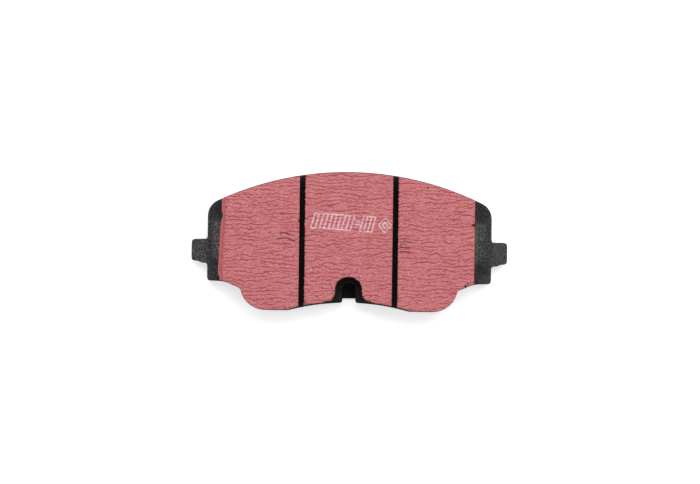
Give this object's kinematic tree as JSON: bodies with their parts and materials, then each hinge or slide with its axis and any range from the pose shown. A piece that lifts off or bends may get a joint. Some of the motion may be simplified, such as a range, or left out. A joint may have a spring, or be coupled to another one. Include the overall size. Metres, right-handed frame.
{
  "type": "disc brake pad",
  "caption": "Disc brake pad: stamped steel backing plate with two ears and a U notch, slotted three-block lining with a break-in coating, and a laminated noise shim.",
  "frame": {"origin": "centre of the pad's bounding box in plan, on the outer face of the shim, which is the lowest plane", "axes": "+X along the pad from ear to ear, +Y towards the pad's convex arc and the rim of the disc, +Z from the shim towards the disc"},
  "size_m": [0.16, 0.0706, 0.0199],
  "materials": {
    "black_paint": "satin",
    "bond_adhesive": "satin",
    "underlayer_compound": "matte",
    "friction_compound": "matte",
    "break_in_coating": "matte",
    "shim_adhesive": "satin",
    "shim_rubber": "matte",
    "shim_steel": "satin",
    "pin_steel": "satin"
  },
  "bodies": {
    "root": {"backing_plate": "black_paint", "bond_film": "bond_adhesive", "underlayer": "underlayer_compound", "friction_left": "friction_compound", "friction_centre": "friction_compound", "friction_right": "friction_compound", "break_in_coat_left": "break_in_coating", "break_in_coat_centre": "break_in_coating", "break_in_coat_right": "break_in_coating", "shim_adhesive": "shim_adhesive", "shim_inner_rubber": "shim_rubber", "shim_steel": "shim_steel", "shim_outer_rubber": "shim_rubber", "shim_pin_left": "pin_steel", "shim_pin_right": "pin_steel"}
  },
  "joints": []
}
